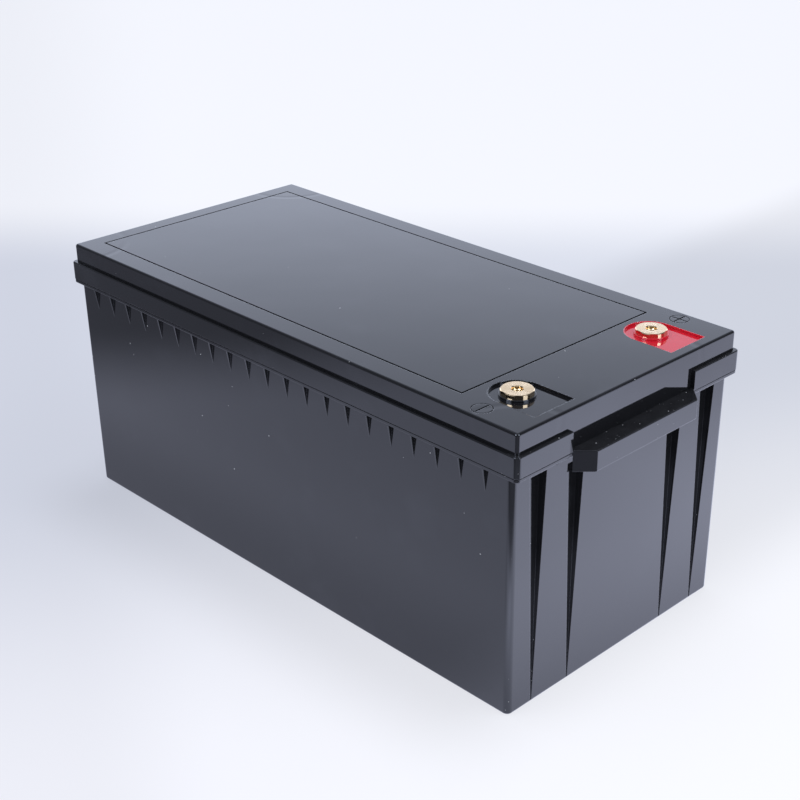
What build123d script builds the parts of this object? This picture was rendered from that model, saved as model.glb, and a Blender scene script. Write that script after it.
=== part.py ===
"""Battery pack: a moulded case and lid, four prismatic cells and their electronics.

Millimetres. The origin is the centre of the case's underside, +X is towards the
terminal end, +Z is up.
"""

import os
from math import sqrt

from build123d import *

os.makedirs("parts", exist_ok=True)

# ---------------------------------------------------------------- driving dimensions
FOOT_LENGTH, FOOT_WIDTH = 486.8, 231.6      # outside of the case at its foot
NECK_LENGTH, NECK_WIDTH = 486.8, 233.6      # outside of the case just under the collar
RIM_LENGTH, RIM_WIDTH = 500.0, 240.0        # proud rim that the lid drops into
LID_LENGTH, LID_WIDTH = 494.0, 234.0
LID_TOP = 219.0
NECK_Z, COLLAR_TOP = 185.6, 188.2           # a collar stands out from the walls under the rim
RIM_BOTTOM, RIM_TOP = 188.9, 204.0
COLLAR_SINK, LINE_SINK = 0.3, 1.2           # how far the collar and the line above it lie behind the rim
STEP_Z = 190.0                              # the lid's skirt stands on this step
BODY_CORNER, RIM_CORNER, LID_CORNER = 4.5, 3.8, 2.4
WALL = 3.6
FLOOR = 4.0
LID_FIT = 0.15                              # clearance around the lid's skirt
SLIP = 0.1                                  # clearance between seated inner pieces

# gussets along the long sides
GUSSET_COUNT, GUSSET_PITCH = 21, 22.0
GUSSET_TOP_Z, GUSSET_HEIGHT = NECK_Z + 0.2, 17.2
GUSSET_WIDTH, GUSSET_PROUD = 1.5, 2.8
GUSSET_FOOT = 0.6

# flutes and finger grip on the ends
FLUTE_YS = (-92.0, -53.8, 53.8, 92.0)
FLUTE_TOP_Z, FLUTE_BOTTOM_Z = 180.4, 2.0
FLUTE_TOP_WIDTH, FLUTE_BOTTOM_WIDTH = 17.0, 1.2
FLUTE_TOP_DEPTH, FLUTE_BOTTOM_DEPTH = 6.8, 0.4
FLUTE_WALL = 3.0
GRIP_TOP_HALF, GRIP_BOTTOM_HALF, GRIP_BOTTOM_Z = 73.5, 56.5, 165.4
HANDLE_REACH = 261.5
HANDLE_BASE_HALF, HANDLE_FRONT_HALF = 66.0, 54.5
HANDLE_PLATE, HANDLE_LIP, HANDLE_HEIGHT = 3.4, 3.2, 15.4

# lid details
SKIRT_BOTTOM = STEP_Z + 0.1
SKIRT_WALL, LID_PLATE = 3.0, 3.4
PANEL_X = (-230.8, 180.4)
PANEL_HALF_WIDTH, PANEL_GROOVE, PANEL_DEPTH = 98.0, 1.5, 1.2
TERMINAL_X, TERMINAL_Y = 205.5, 71.6
POCKET_RADIUS, POCKET_END_X = 19.9, 238.4
MARK_Y, MARK_RADIUS, MARK_DEPTH = 105.2, 7.6, 0.9
MARK_RING, MARK_LINE, MARK_BAR = 0.7, 1.2, 13.2
LID_EDGE = 1.8
SEAL_WIDTH, SEAL_HEIGHT = 1.3, 1.5

# pocket liners
LINER_RIM, LINER_EDGE = 0.7, 0.4
POCKET_FLOOR = 217.0
FLANGE_OVERLAP, FLANGE_BOTTOM = 2.5, 213.0
LINER_BOTTOM = 209.0
BOSS_RADIUS, BOSS_TOP = 12.7, 218.8
RING_RADIUS, RING_CORD = 8.2, 0.9

# terminals
TERMINAL_TOP = 221.9
HEX_FLATS = 22.0
HEX_CORNER_TURN = 45.0                      # direction of one corner, degrees from +X
FLANGE_RADIUS, FLANGE_EDGE = 11.5, 0.6      # the hexagon's corners are turned down to this radius
SHANK_RADIUS = 7.0
SHANK_BOTTOM = 197.5
WASHER, BIG_LUG, BIG_NUT, BIG_NUT_FLATS = 1.5, 3.0, 6.0, 22.0
BARREL_START, BARREL_LENGTH, BARREL_RADIUS = 20.0, 20.0, 5.6
THREAD_RADIUS, THREAD_DEPTH = 3.4, 15.0
MOUTH_RADIUS, MOUTH_DEPTH, MOUTH_EDGE = 4.1, 2.0, 0.5

# cells
CELL_X, CELL_Y, CELL_Z = 71.5, 174.0, 198.0
CELL_PITCH = 72.5
CELL_COUNT = 4
CELL_BOTTOM = 6.0
CELL_TOP = CELL_BOTTOM + CELL_Z
FIRST_CELL_X = -188.0
POST_Y = 61.5
PAD_TOP = CELL_TOP + 2.0
BUSBAR_THICKNESS = 2.0
BUSBAR_TOP = PAD_TOP + BUSBAR_THICKNESS
TAG_THICKNESS = 0.8
STUD_RADIUS = 3.0
STUD_TOP = 214.0
END_PLATE = 5.0
STRAP, STRAP_WIDTH, STRAP_ZS = 0.8, 16.0, (44.0, 146.0)
FOAM_TOP, FOAM_FACE = 186.0, 233.1
FRONT_FOAM_X, FRONT_TOP = 112.0, 150.0

# electronics
PLATE_X, MOUNT_PLATE = 72.4, 2.0
BOARD_Y, BOARD_Z = 130.0, 100.0
BOARD_MID_Z = 90.0
BOARD_X, BOARD_THICKNESS = 83.0, 1.6
SCREW_RADIUS = 1.5
HEATSINK_GAP, HEATSINK_Y, HEATSINK_Z, FIN_COUNT = 4.5, 96.0, 62.0, 12
BLOCK_Y = 46.0

# leads
LEAD_RADIUS = 4.0
LEAD_TOP_Z = 209.4
SMALL_BARREL_START, SMALL_BARREL_RADIUS = 10.0, 5.2
EDGE_Y = 79.5
LOOP_START_X, LOOP_LOW_Z = 62.0, 174.0
WIRE_RADIUS, WIRE_Z, LANE = 0.8, 206.0, 2.4

cell_xs = [FIRST_CELL_X + i * CELL_PITCH for i in range(CELL_COUNT)]
stack_start = cell_xs[0] - CELL_X / 2
stack_end = cell_xs[-1] + CELL_X / 2
terminals = [(TERMINAL_X, TERMINAL_Y), (TERMINAL_X, -TERMINAL_Y)]


def write(part, name):
    part.label = name
    export_step(part, f"parts/{name}.step")


def flute_back(z):
    """Distance from the pack's middle to the back face of a flute at height z."""
    share = (z - FLUTE_BOTTOM_Z) / (FLUTE_TOP_Z - FLUTE_BOTTOM_Z)
    face = FOOT_LENGTH / 2 + (NECK_LENGTH - FOOT_LENGTH) / 2 * z / NECK_Z
    return face - FLUTE_BOTTOM_DEPTH - share * (FLUTE_TOP_DEPTH - FLUTE_BOTTOM_DEPTH)


# ---------------------------------------------------------------- case
cavity_length, cavity_width = NECK_LENGTH - 2 * WALL - 1.8, NECK_WIDTH - 2 * WALL - 1.4
inner_x = cavity_length / 2 + 1
rim_x = RIM_LENGTH / 2
grip_back = flute_back(FLUTE_TOP_Z)
opposite_ends = (Location((0, 0, 0)), Location((0, 0, 0), (0, 0, 180)))

with BuildPart() as gusset:
    # a rib that narrows and sinks into the wall towards its foot
    with BuildSketch(Plane.XY.offset(GUSSET_TOP_Z)):
        with Locations((0, NECK_WIDTH / 2 + (GUSSET_PROUD - 1) / 2)):
            Rectangle(GUSSET_WIDTH, GUSSET_PROUD + 1)
    with BuildSketch(Plane.XY.offset(GUSSET_TOP_Z - GUSSET_HEIGHT)):
        with Locations((0, NECK_WIDTH / 2 - 0.5)):
            Rectangle(GUSSET_FOOT, 1.0)
    loft()

with BuildPart() as flute_backing:
    # wall thickness kept behind the flutes and the finger grip, +X end
    for flute_y in FLUTE_YS:
        low_x, high_x = flute_back(FLOOR) - FLUTE_WALL, grip_back - FLUTE_WALL
        with BuildSketch(Plane.XY.offset(FLOOR)):
            with Locations(((low_x + inner_x) / 2, flute_y)):
                Rectangle(inner_x - low_x, FLUTE_BOTTOM_WIDTH + 2 * FLUTE_WALL)
        with BuildSketch(Plane.XY.offset(FLUTE_TOP_Z + FLUTE_WALL)):
            with Locations(((high_x + inner_x) / 2, flute_y)):
                Rectangle(inner_x - high_x, FLUTE_TOP_WIDTH + 2 * FLUTE_WALL)
        loft()
    with BuildSketch(Plane.YZ.offset(grip_back - FLUTE_WALL)):
        with BuildLine():
            Polyline(
                (-GRIP_TOP_HALF - FLUTE_WALL, FLUTE_TOP_Z + FLUTE_WALL),
                (GRIP_TOP_HALF + FLUTE_WALL, FLUTE_TOP_Z + FLUTE_WALL),
                (GRIP_BOTTOM_HALF, GRIP_BOTTOM_Z - FLUTE_WALL - 1),
                (-GRIP_BOTTOM_HALF, GRIP_BOTTOM_Z - FLUTE_WALL - 1),
                close=True,
            )
        make_face()
    extrude(amount=inner_x - grip_back + FLUTE_WALL)

with BuildPart() as flute_cuts:
    # four tapering flutes, the recess behind the handle and the gap in the rim, +X end
    foot_back = flute_back(FLUTE_BOTTOM_Z)
    for flute_y in FLUTE_YS:
        with BuildSketch(Plane.XY.offset(FLUTE_BOTTOM_Z)):
            with Locations(((foot_back + rim_x) / 2, flute_y)):
                Rectangle(rim_x - foot_back, FLUTE_BOTTOM_WIDTH)
        with BuildSketch(Plane.XY.offset(FLUTE_TOP_Z)):
            with Locations(((grip_back + rim_x) / 2, flute_y)):
                Rectangle(rim_x - grip_back, FLUTE_TOP_WIDTH)
        loft()
    with BuildSketch(Plane.YZ.offset(grip_back)):
        with BuildLine():
            Polyline(
                (-GRIP_TOP_HALF, FLUTE_TOP_Z),
                (GRIP_TOP_HALF, FLUTE_TOP_Z),
                (GRIP_BOTTOM_HALF, GRIP_BOTTOM_Z),
                (-GRIP_BOTTOM_HALF, GRIP_BOTTOM_Z),
                close=True,
            )
        make_face()
    extrude(amount=rim_x - grip_back)
    with BuildSketch(Plane.XY.offset(STEP_Z)):
        with Locations((rim_x, 0)):
            Rectangle(12, 2 * HANDLE_BASE_HALF)
    extrude(amount=30)

with BuildPart() as handle:
    # a flat ledge with a lip hanging from its front and slanted sides, +X end
    ledge = [
        (rim_x, -HANDLE_BASE_HALF),
        (HANDLE_REACH, -HANDLE_FRONT_HALF),
        (HANDLE_REACH, HANDLE_FRONT_HALF),
        (rim_x, HANDLE_BASE_HALF),
    ]
    root_x = NECK_LENGTH / 2 - 1
    with BuildSketch(Plane.XY.offset(STEP_Z - HANDLE_PLATE)):
        with BuildLine():
            Polyline((root_x, -HANDLE_BASE_HALF), *ledge, (root_x, HANDLE_BASE_HALF), close=True)
        make_face()
    extrude(amount=HANDLE_PLATE)
    slant = HANDLE_LIP * sqrt(2)
    inner_half = HANDLE_FRONT_HALF - (slant - HANDLE_LIP)
    with BuildSketch(Plane.XY.offset(STEP_Z - HANDLE_HEIGHT)):
        with BuildLine():
            Polyline(
                *ledge,
                (rim_x, HANDLE_BASE_HALF - slant),
                (HANDLE_REACH - HANDLE_LIP, inner_half),
                (HANDLE_REACH - HANDLE_LIP, -inner_half),
                (rim_x, -HANDLE_BASE_HALF + slant),
                close=True,
            )
        make_face()
    extrude(amount=HANDLE_HEIGHT)
    top_outline = handle.edges().group_by(Axis.Z)[-1].filter_by(lambda edge: edge.center().X > root_x + 1)
    front_outline = handle.edges().group_by(Axis.X)[-1].filter_by(lambda edge: edge.center().Z < STEP_Z - 1)
    fillet(top_outline + front_outline, 0.8)

with BuildPart() as rim:
    # a collar, a thin sunk line and the rim itself, still solid inside
    heights = (NECK_Z, COLLAR_TOP, RIM_BOTTOM, RIM_TOP)
    for low_z, high_z, sink in zip(heights, heights[1:], (COLLAR_SINK, LINE_SINK, 0)):
        with BuildSketch(Plane.XY.offset(low_z)):
            RectangleRounded(RIM_LENGTH - 2 * sink, RIM_WIDTH - 2 * sink, RIM_CORNER - sink)
        extrude(amount=high_z - low_z)
    fillet(rim.edges().group_by(Axis.Z)[0] + rim.edges().group_by(Axis.Z)[-1], 0.8)

with BuildPart() as case_shell:
    # tapered body and rim
    with BuildSketch():
        RectangleRounded(FOOT_LENGTH, FOOT_WIDTH, BODY_CORNER)
    with BuildSketch(Plane.XY.offset(NECK_Z)):
        RectangleRounded(NECK_LENGTH, NECK_WIDTH, BODY_CORNER)
    loft()
    fillet(case_shell.edges().group_by(Axis.Z)[0], 2.0)
    add(rim.part)

    # seat for the lid's skirt, then the hollow inside
    with BuildSketch(Plane.XY.offset(STEP_Z)):
        RectangleRounded(LID_LENGTH + 2 * LID_FIT, LID_WIDTH + 2 * LID_FIT, LID_CORNER + LID_FIT)
    extrude(amount=RIM_TOP - STEP_Z + 1, mode=Mode.SUBTRACT)
    with BuildSketch(Plane.XY.offset(FLOOR)):
        RectangleRounded(cavity_length, cavity_width, BODY_CORNER)
    extrude(amount=STEP_Z - FLOOR + 1, mode=Mode.SUBTRACT)

    # details of the long sides and of both ends
    middle = (GUSSET_COUNT - 1) / 2
    with Locations(
        [Location(((count - middle) * GUSSET_PITCH, 0, 0)) for count in range(GUSSET_COUNT)]
        + [Location(((count - middle) * GUSSET_PITCH, 0, 0), (0, 0, 180)) for count in range(GUSSET_COUNT)]
    ):
        add(gusset.part)
    with Locations(*opposite_ends):
        add(flute_backing.part)
    with Locations(*opposite_ends):
        add(flute_cuts.part, mode=Mode.SUBTRACT)
    with Locations(*opposite_ends):
        add(handle.part)

write(case_shell.part, "case_shell")


# ---------------------------------------------------------------- lid
def pocket_outline(margin):
    """D-shaped outlines of both terminal pockets, grown or shrunk by margin."""
    radius = POCKET_RADIUS + margin
    end_x = POCKET_END_X + margin
    for x, y in terminals:
        with Locations((x, y)):
            Circle(radius)
        with Locations(((x + end_x) / 2, y)):
            Rectangle(end_x - x, 2 * radius)


with BuildPart() as lid_shell:
    with BuildSketch(Plane.XY.offset(SKIRT_BOTTOM)):
        RectangleRounded(LID_LENGTH, LID_WIDTH, LID_CORNER)
    extrude(amount=LID_TOP - SKIRT_BOTTOM)
    fillet(lid_shell.edges().group_by(Axis.Z)[-1], LID_EDGE)
    with BuildSketch(Plane.XY.offset(SKIRT_BOTTOM)):
        RectangleRounded(LID_LENGTH - 2 * SKIRT_WALL, LID_WIDTH - 2 * SKIRT_WALL, LID_CORNER)
    extrude(amount=LID_TOP - LID_PLATE - SKIRT_BOTTOM, mode=Mode.SUBTRACT)
    with BuildSketch(Plane.XY.offset(SKIRT_BOTTOM)):
        RectangleRounded(LID_LENGTH - SKIRT_WALL, LID_WIDTH - SKIRT_WALL, LID_CORNER)
    extrude(amount=SEAL_HEIGHT, mode=Mode.SUBTRACT)

    # thin groove around the panel on top
    panel_length = PANEL_X[1] - PANEL_X[0]
    with BuildSketch(Plane.XY.offset(LID_TOP)):
        with Locations(((PANEL_X[0] + PANEL_X[1]) / 2, 0)):
            Rectangle(panel_length + PANEL_GROOVE, 2 * PANEL_HALF_WIDTH + PANEL_GROOVE)
            Rectangle(
                panel_length - PANEL_GROOVE, 2 * PANEL_HALF_WIDTH - PANEL_GROOVE, mode=Mode.SUBTRACT
            )
    extrude(amount=-PANEL_DEPTH, mode=Mode.SUBTRACT)

    # polarity marks: a cross in a ring beside one terminal, a bar in a ring beside the other
    with BuildSketch(Plane.XY.offset(LID_TOP)):
        for side in (-1, 1):
            with Locations((TERMINAL_X, side * MARK_Y)):
                Circle(MARK_RADIUS)
                Circle(MARK_RADIUS - MARK_RING, mode=Mode.SUBTRACT)
                Rectangle(MARK_LINE, MARK_BAR)
        with Locations((TERMINAL_X, MARK_Y)):
            Rectangle(MARK_BAR, MARK_LINE)
    extrude(amount=-MARK_DEPTH, mode=Mode.SUBTRACT)

    # openings for the pocket liners
    with BuildSketch(Plane.XY.offset(LID_TOP - LID_PLATE)):
        pocket_outline(0)
    extrude(amount=LID_PLATE, mode=Mode.SUBTRACT)

write(lid_shell.part, "lid_shell")

with BuildPart() as lid_seal:
    # cord in the rabbet at the foot of the skirt, resting on the case's step
    with BuildSketch(Plane.XY.offset(STEP_Z)):
        seal_length, seal_width = LID_LENGTH - SKIRT_WALL - SLIP, LID_WIDTH - SKIRT_WALL - SLIP
        RectangleRounded(seal_length, seal_width, LID_CORNER)
        inner_length, inner_width = seal_length - 2 * SEAL_WIDTH, seal_width - 2 * SEAL_WIDTH
        RectangleRounded(inner_length, inner_width, LID_CORNER - SEAL_WIDTH, mode=Mode.SUBTRACT)
    extrude(amount=SEAL_HEIGHT)

write(lid_seal.part, "lid_seal")


# ---------------------------------------------------------------- terminals
with BuildPart() as liners:
    # a D-shaped cup with a clamping flange below the lid and a round boss for the terminal
    with BuildSketch(Plane.XY.offset(FLANGE_BOTTOM)):
        pocket_outline(FLANGE_OVERLAP)
    extrude(amount=LID_TOP - LID_PLATE - SLIP - FLANGE_BOTTOM)
    with BuildSketch(Plane.XY.offset(FLANGE_BOTTOM)):
        pocket_outline(-SLIP)
    extrude(amount=LID_TOP - FLANGE_BOTTOM)
    with BuildSketch(Plane.XY.offset(POCKET_FLOOR)):
        pocket_outline(-SLIP - LINER_RIM)
    extrude(amount=LID_TOP - POCKET_FLOOR, mode=Mode.SUBTRACT)
    for rim_face in liners.faces().filter_by_position(Axis.Z, LID_TOP - SLIP, LID_TOP + SLIP):
        fillet(rim_face.inner_wires()[0].edges(), LINER_EDGE)
    with BuildSketch(Plane.XY.offset(LINER_BOTTOM)):
        with Locations(*terminals):
            Circle(BOSS_RADIUS)
    extrude(amount=BOSS_TOP - LINER_BOTTOM)
    round_edges = liners.edges().filter_by(GeomType.CIRCLE)
    fillet(round_edges.filter_by_position(Axis.Z, BOSS_TOP - 0.05, BOSS_TOP + 0.05), 0.6)
    # groove for the O-ring and the terminal's hole
    with BuildSketch(Plane.XY.offset(BOSS_TOP)):
        with Locations(*terminals):
            Circle(RING_RADIUS + RING_CORD + 2 * SLIP)
    extrude(amount=-2 * RING_CORD - SLIP, mode=Mode.SUBTRACT)
    with BuildSketch(Plane.XY.offset(LINER_BOTTOM)):
        with Locations(*terminals):
            Circle(SHANK_RADIUS + SLIP)
    extrude(amount=BOSS_TOP - LINER_BOTTOM, mode=Mode.SUBTRACT)

liner_solids = liners.part.solids().sort_by(Axis.Y)
for solid, name in zip(liner_solids, ("negative_terminal_liner", "positive_terminal_liner")):
    with BuildPart() as liner:
        add(solid)
    write(liner.part, name)

with BuildPart() as terminal:
    # round flange with six shallow flats, a shank and a threaded blind hole with a counterbored mouth
    with BuildSketch(Plane.XY.offset(BOSS_TOP)):
        Circle(FLANGE_RADIUS)
        RegularPolygon(HEX_FLATS / 2, 6, major_radius=False, rotation=HEX_CORNER_TURN, mode=Mode.INTERSECT)
    extrude(amount=TERMINAL_TOP - BOSS_TOP)
    with BuildSketch(Plane.XZ):
        with BuildLine():
            Polyline(
                (FLANGE_RADIUS - FLANGE_EDGE, TERMINAL_TOP),
                (FLANGE_RADIUS + 1, TERMINAL_TOP),
                (FLANGE_RADIUS + 1, TERMINAL_TOP - FLANGE_EDGE - 1),
                close=True,
            )
        make_face()
    revolve(axis=Axis.Z, mode=Mode.SUBTRACT)
    with BuildSketch(Plane.XY.offset(SHANK_BOTTOM)):
        Circle(SHANK_RADIUS)
    extrude(amount=BOSS_TOP - SHANK_BOTTOM)
    chamfer(terminal.edges().group_by(Axis.Z)[0], 0.8)
    with Locations((0, 0, TERMINAL_TOP)):
        CounterBoreHole(THREAD_RADIUS, MOUTH_RADIUS, MOUTH_DEPTH, THREAD_DEPTH)
    mouth = terminal.edges().group_by(Axis.Z)[-1].filter_by(GeomType.CIRCLE).sort_by(SortBy.RADIUS)[0]
    chamfer(mouth, MOUTH_EDGE)

for (x, y), name in zip(terminals, ("positive_terminal", "negative_terminal")):
    with BuildPart() as placed:
        with Locations((x, y)):
            add(terminal.part)
    write(placed.part, name)

with BuildPart() as terminal_orings:
    for x, y in terminals:
        with BuildSketch(Plane.XZ.offset(-y)):
            with Locations((x + RING_RADIUS, BOSS_TOP - RING_CORD - SLIP / 2)):
                Circle(RING_CORD)
        revolve(axis=Axis((x, y, 0), (0, 0, 1)))

write(terminal_orings.part, "terminal_orings")

with BuildPart() as terminal_washers:
    with BuildSketch(Plane.XY.offset(LINER_BOTTOM - WASHER)):
        with Locations(*terminals):
            Circle(BOSS_RADIUS - 0.8)
            Circle(SHANK_RADIUS + SLIP, mode=Mode.SUBTRACT)
    extrude(amount=WASHER)

write(terminal_washers.part, "terminal_washers")

lug_top = LINER_BOTTOM - WASHER
lug_z = lug_top - BIG_LUG / 2
with BuildPart() as lid_cable_lugs:
    # flat eye under the washer, with a barrel towards the cells
    with BuildSketch(Plane.XY.offset(lug_top - BIG_LUG)):
        for x, y in terminals:
            with Locations((x, y)):
                Circle(BOSS_RADIUS - 0.8)
            with Locations((x - BARREL_START / 2, y)):
                Rectangle(BARREL_START, 2 * BARREL_RADIUS)
    extrude(amount=BIG_LUG)
    with BuildSketch(Plane.YZ.offset(TERMINAL_X - BARREL_START - BARREL_LENGTH)):
        with Locations((TERMINAL_Y, lug_z), (-TERMINAL_Y, lug_z)):
            Circle(BARREL_RADIUS)
    extrude(amount=BARREL_LENGTH)
    with BuildSketch(Plane.YZ.offset(TERMINAL_X - BARREL_START - BARREL_LENGTH)):
        with Locations((TERMINAL_Y, lug_z), (-TERMINAL_Y, lug_z)):
            Circle(LEAD_RADIUS + SLIP)
    extrude(amount=BARREL_LENGTH - 2, mode=Mode.SUBTRACT)
    with BuildSketch(Plane.XY.offset(lug_top - BIG_LUG)):
        with Locations(*terminals):
            Circle(SHANK_RADIUS + SLIP)
    extrude(amount=BIG_LUG, mode=Mode.SUBTRACT)

write(lid_cable_lugs.part, "lid_cable_lugs")

with BuildPart() as terminal_nuts:
    nut_top = lug_top - BIG_LUG
    with BuildSketch(Plane.XY.offset(nut_top - BIG_NUT)):
        with Locations(*terminals):
            RegularPolygon(BIG_NUT_FLATS / 2, 6, major_radius=False)
            Circle(SHANK_RADIUS + 0.02, mode=Mode.SUBTRACT)
    extrude(amount=BIG_NUT)

write(terminal_nuts.part, "terminal_nuts")


# ---------------------------------------------------------------- cells
post_ys = (-POST_Y, POST_Y)
posts = [(x, y) for x in cell_xs for y in post_ys]

for number, cell_x in enumerate(cell_xs, start=1):
    with BuildPart() as cell:
        with BuildSketch(Plane.XY.offset(CELL_BOTTOM)):
            with Locations((cell_x, 0)):
                RectangleRounded(CELL_X, CELL_Y, 3.0)
        extrude(amount=CELL_Z)
        fillet(cell.edges().group_by(Axis.Z)[-1], 1.2)
    write(cell.part, f"cell_{number}")

with BuildPart() as cell_posts:
    # a flat pad and a stud on each cell, two to a cell
    with BuildSketch(Plane.XY.offset(CELL_TOP)):
        with Locations(*posts):
            RectangleRounded(20, 24, 2)
    extrude(amount=PAD_TOP - CELL_TOP)
    with BuildSketch(Plane.XY.offset(PAD_TOP)):
        with Locations(*posts):
            Circle(STUD_RADIUS)
    extrude(amount=STUD_TOP - PAD_TOP)
    chamfer(cell_posts.edges().group_by(Axis.Z)[-1], 0.6)

write(cell_posts.part, "cell_posts")

with BuildPart() as cell_vents:
    with BuildSketch(Plane.XY.offset(CELL_TOP)):
        with Locations(*[(x, 0) for x in cell_xs]):
            SlotOverall(40, 18, rotation=90)
    extrude(amount=0.8)

write(cell_vents.part, "cell_vents")

with BuildPart() as cell_separators:
    with BuildSketch(Plane.XY.offset(CELL_BOTTOM)):
        with Locations(*[(x + CELL_PITCH / 2, 0) for x in cell_xs[:-1]]):
            Rectangle(CELL_PITCH - CELL_X - 2 * SLIP, CELL_Y - 2)
    extrude(amount=CELL_Z - 4)

write(cell_separators.part, "cell_separators")

with BuildPart() as end_plates:
    with BuildSketch(Plane.XY.offset(CELL_BOTTOM)):
        with Locations(
            (stack_start - SLIP - END_PLATE / 2, 0),
            (stack_end + SLIP + END_PLATE / 2, 0),
        ):
            Rectangle(END_PLATE, CELL_Y)
    extrude(amount=CELL_Z - 4)
    fillet(end_plates.edges().filter_by(Axis.X), 6.0)

write(end_plates.part, "end_plates")

wrap_start = stack_start - 2 * SLIP - END_PLATE
wrap_end = stack_end + 2 * SLIP + END_PLATE
wrap_middle = (wrap_start + wrap_end) / 2
with BuildPart() as compression_straps:
    for strap_z in STRAP_ZS:
        with BuildSketch(Plane.XY.offset(strap_z)):
            with Locations((wrap_middle, 0)):
                Rectangle(wrap_end - wrap_start + 2 * STRAP, CELL_Y + 2 * SLIP + 2 * STRAP)
                Rectangle(wrap_end - wrap_start, CELL_Y + 2 * SLIP, mode=Mode.SUBTRACT)
        extrude(amount=STRAP_WIDTH)
    outer_corners = compression_straps.edges().filter_by(Axis.Z).filter_by(
        lambda edge: abs(edge.center().Y) > CELL_Y / 2 + STRAP / 2 + SLIP
    )
    fillet(outer_corners, 0.4)

write(compression_straps.part, "compression_straps")


# ---------------------------------------------------------------- pads and foams
pads = {
    "bottom_pad": (wrap_start, wrap_end, -CELL_Y / 2, CELL_Y / 2, FLOOR, CELL_BOTTOM),
    "side_foam_left": (wrap_start, wrap_end, CELL_Y / 2 + 1.4, cavity_width / 2 - 0.3, FLOOR, FOAM_TOP),
    "side_foam_right": (wrap_start, wrap_end, 0.3 - cavity_width / 2, -CELL_Y / 2 - 1.4, FLOOR, FOAM_TOP),
    "rear_foam": (-FOAM_FACE, wrap_start - 1.2, -CELL_Y / 2, CELL_Y / 2, FLOOR, FOAM_TOP),
    "front_foam": (FRONT_FOAM_X, FOAM_FACE, 3 - cavity_width / 2, cavity_width / 2 - 3, FLOOR, FRONT_TOP),
}
for name, (x0, x1, y0, y1, z0, z1) in pads.items():
    with BuildPart() as pad:
        with Locations((x0, y0, z0)):
            Box(x1 - x0, y1 - y0, z1 - z0, align=Align.MIN)
    write(pad.part, name)


# ---------------------------------------------------------------- busbars
links = {"busbar_1_2": (0, -POST_Y), "busbar_2_3": (1, POST_Y), "busbar_3_4": (2, -POST_Y)}
for name, (first, bar_y) in links.items():
    bar_x = cell_xs[first] + CELL_PITCH / 2
    with BuildPart() as busbar:
        with BuildSketch(Plane.XY.offset(PAD_TOP)):
            with Locations((bar_x, bar_y)):
                SlotOverall(CELL_PITCH + 20, 20)
                SlotOverall(24, 6, mode=Mode.SUBTRACT)
            with Locations((cell_xs[first], bar_y), (cell_xs[first + 1], bar_y)):
                Circle(STUD_RADIUS + SLIP, mode=Mode.SUBTRACT)
        extrude(amount=BUSBAR_THICKNESS)
    write(busbar.part, name)

# each sense tag lies on one post: both free posts and one post of each busbar
tagged = [
    (cell_xs[0], POST_Y),
    (cell_xs[1], -POST_Y),
    (cell_xs[2], POST_Y),
    (cell_xs[3], -POST_Y),
    (cell_xs[3], POST_Y),
]
with BuildPart() as sense_tags:
    for x, y in tagged:
        inward = -1 if y > 0 else 1
        with BuildSketch(Plane.XY.offset(BUSBAR_TOP)):
            with Locations((x, y)):
                Circle(6.0)
            with Locations((x, y + inward * 7.5)):
                Rectangle(2.4, 7.0)
            with Locations((x, y)):
                Circle(STUD_RADIUS + SLIP, mode=Mode.SUBTRACT)
        extrude(amount=TAG_THICKNESS)

write(sense_tags.part, "sense_tags")

with BuildPart() as busbar_nuts:
    # flanged nuts, one to each post, standing on the tag where there is one
    for x, y in posts:
        seat_z = BUSBAR_TOP + (TAG_THICKNESS if (x, y) in tagged else 0)
        with BuildSketch(Plane.XY.offset(seat_z)):
            with Locations((x, y)):
                Circle(6.5)
                Circle(STUD_RADIUS + 0.02, mode=Mode.SUBTRACT)
        extrude(amount=1.2)
        with BuildSketch(Plane.XY.offset(seat_z + 1.2)):
            with Locations((x, y)):
                RegularPolygon(5, 6, major_radius=False)
                Circle(STUD_RADIUS + 0.02, mode=Mode.SUBTRACT)
        extrude(amount=3.6)

write(busbar_nuts.part, "busbar_nuts")

with BuildPart() as battery_cable_lugs:
    # eyes on the two free posts, with barrels along +X
    ends = [(cell_xs[0], POST_Y), (cell_xs[3], POST_Y)]
    with BuildSketch(Plane.XY.offset(PAD_TOP)):
        for x, y in ends:
            with Locations((x, y)):
                Circle(8.5)
            with Locations((x + 7, y)):
                Rectangle(14, 9)
    extrude(amount=BUSBAR_THICKNESS)
    for x, y in ends:
        with BuildSketch(Plane.YZ.offset(x + SMALL_BARREL_START)):
            with Locations((y, LEAD_TOP_Z)):
                Circle(SMALL_BARREL_RADIUS)
        extrude(amount=BARREL_LENGTH - 2)
        with BuildSketch(Plane.YZ.offset(x + SMALL_BARREL_START + 2)):
            with Locations((y, LEAD_TOP_Z)):
                Circle(LEAD_RADIUS + SLIP)
        extrude(amount=BARREL_LENGTH, mode=Mode.SUBTRACT)
    with BuildSketch(Plane.XY.offset(PAD_TOP)):
        with Locations(*ends):
            Circle(STUD_RADIUS + SLIP)
    extrude(amount=BUSBAR_THICKNESS, mode=Mode.SUBTRACT)

write(battery_cable_lugs.part, "battery_cable_lugs")


# ---------------------------------------------------------------- battery management electronics
board_low, board_high = BOARD_MID_Z - BOARD_Z / 2, BOARD_MID_Z + BOARD_Z / 2
corner_ys = (-BOARD_Y / 2 + 8, BOARD_Y / 2 - 8)
corner_zs = (board_low + 8, board_high - 8)
corners = [(y, z) for y in corner_ys for z in corner_zs]
board_face = BOARD_X + BOARD_THICKNESS

with BuildPart() as bms_mounting_plate:
    with BuildSketch(Plane.YZ.offset(PLATE_X)):
        with Locations((0, BOARD_MID_Z)):
            RectangleRounded(BOARD_Y + 20, BOARD_Z + 40, 5)
    extrude(amount=MOUNT_PLATE)

write(bms_mounting_plate.part, "bms_mounting_plate")

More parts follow.
